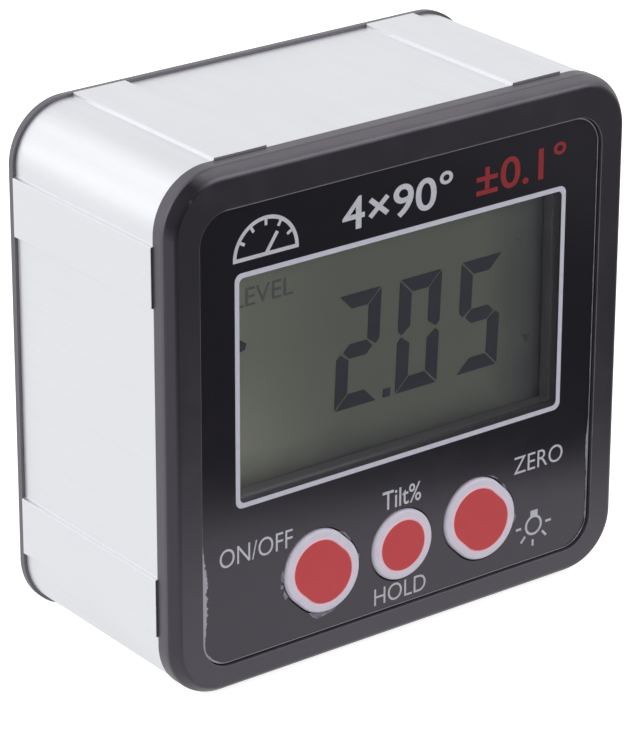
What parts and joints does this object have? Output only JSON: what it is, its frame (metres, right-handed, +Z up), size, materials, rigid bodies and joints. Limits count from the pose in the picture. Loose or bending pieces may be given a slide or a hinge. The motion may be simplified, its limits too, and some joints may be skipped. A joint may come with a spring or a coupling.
{
  "type": "digital inclinometer",
  "caption": "Box-shaped digital inclinometer: aluminium ring frame with measuring rails, black bezel with display and push buttons, rear cover with sliding battery door.",
  "frame": {"origin": "on the plane of the lower rails, under the middle of the bounding box", "axes": "+X to the right seen from the front, +Y from the display towards the rear, +Z up"},
  "size_m": [0.0606, 0.0292, 0.0586],
  "materials": {
    "anodised_aluminium": "satin anodised",
    "black_plastic": "fine matte moulding",
    "printed_film": "semi-gloss printed film",
    "clear_plastic": "clear",
    "display_glass": "grey-green display",
    "white_plastic": "moulded white",
    "silver_plastic": "silver-grey satin",
    "red_plastic": "satin red",
    "green_board": "solder mask",
    "chip_black": "moulded black",
    "zinc_steel": "zinc plated",
    "nickel_magnet": "nickel plated",
    "spring_steel": "nickel plated",
    "soft_rubber": "layered silicone",
    "cell_sleeve": "printed sleeve",
    "wire_red": "wire insulation",
    "wire_black": "wire insulation"
  },
  "bodies": {
    "housing": {"frame_extrusion": "anodised_aluminium", "front_bezel": "black_plastic", "rear_cover": "black_plastic", "overlay_film": "printed_film", "window_lens": "clear_plastic", "display_glass": "display_glass", "display_holder": "white_plastic", "light_guide": "clear_plastic", "connector_strip": "soft_rubber", "backlight_lamp": "white_plastic", "circuit_board": "green_board", "microcontroller": "chip_black", "tilt_sensor": "chip_black", "crystal": "zinc_steel", "capacitor": "zinc_steel", "tact_switch_left": "chip_black", "tact_switch_middle": "chip_black", "tact_switch_right": "chip_black", "base_magnet_1": "nickel_magnet", "base_magnet_2": "nickel_magnet", "base_magnet_3": "nickel_magnet", "base_magnet_4": "nickel_magnet", "bezel_screw_1": "zinc_steel", "bezel_screw_2": "zinc_steel", "bezel_screw_3": "zinc_steel", "bezel_screw_4": "zinc_steel", "cover_screw_1": "zinc_steel", "cover_screw_2": "zinc_steel", "cover_screw_3": "zinc_steel", "cover_screw_4": "zinc_steel", "board_screw_1": "zinc_steel", "board_screw_2": "zinc_steel", "board_screw_3": "zinc_steel", "board_screw_4": "zinc_steel", "contact_positive": "spring_steel", "contact_negative": "spring_steel", "contact_bridge": "spring_steel", "battery_cell_1": "cell_sleeve", "battery_cell_2": "cell_sleeve", "battery_lead_positive": "wire_red", "battery_lead_negative": "wire_black"},
    "left_button": {"button_left": "silver_plastic", "button_left_face": "red_plastic", "switch_plunger_left": "zinc_steel"},
    "middle_button": {"button_middle": "silver_plastic", "button_middle_face": "red_plastic", "switch_plunger_middle": "zinc_steel"},
    "right_button": {"button_right": "silver_plastic", "button_right_face": "red_plastic", "switch_plunger_right": "zinc_steel"},
    "door": {"battery_door": "black_plastic"}
  },
  "joints": [
    {"name": "left_button_press", "type": "slide", "parent": "housing", "child": "left_button", "axis": [0, 1, 0], "range_m": [0, 0.00035], "stiffness_N_per_m": 2000},
    {"name": "middle_button_press", "type": "slide", "parent": "housing", "child": "middle_button", "axis": [0, 1, 0], "range_m": [0, 0.00035], "stiffness_N_per_m": 2000},
    {"name": "right_button_press", "type": "slide", "parent": "housing", "child": "right_button", "axis": [0, 1, 0], "range_m": [0, 0.00035], "stiffness_N_per_m": 2000},
    {"name": "door_slide", "type": "slide", "parent": "housing", "child": "door", "axis": [1, 0, 0], "range_m": [0, 0.05]}
  ]
}
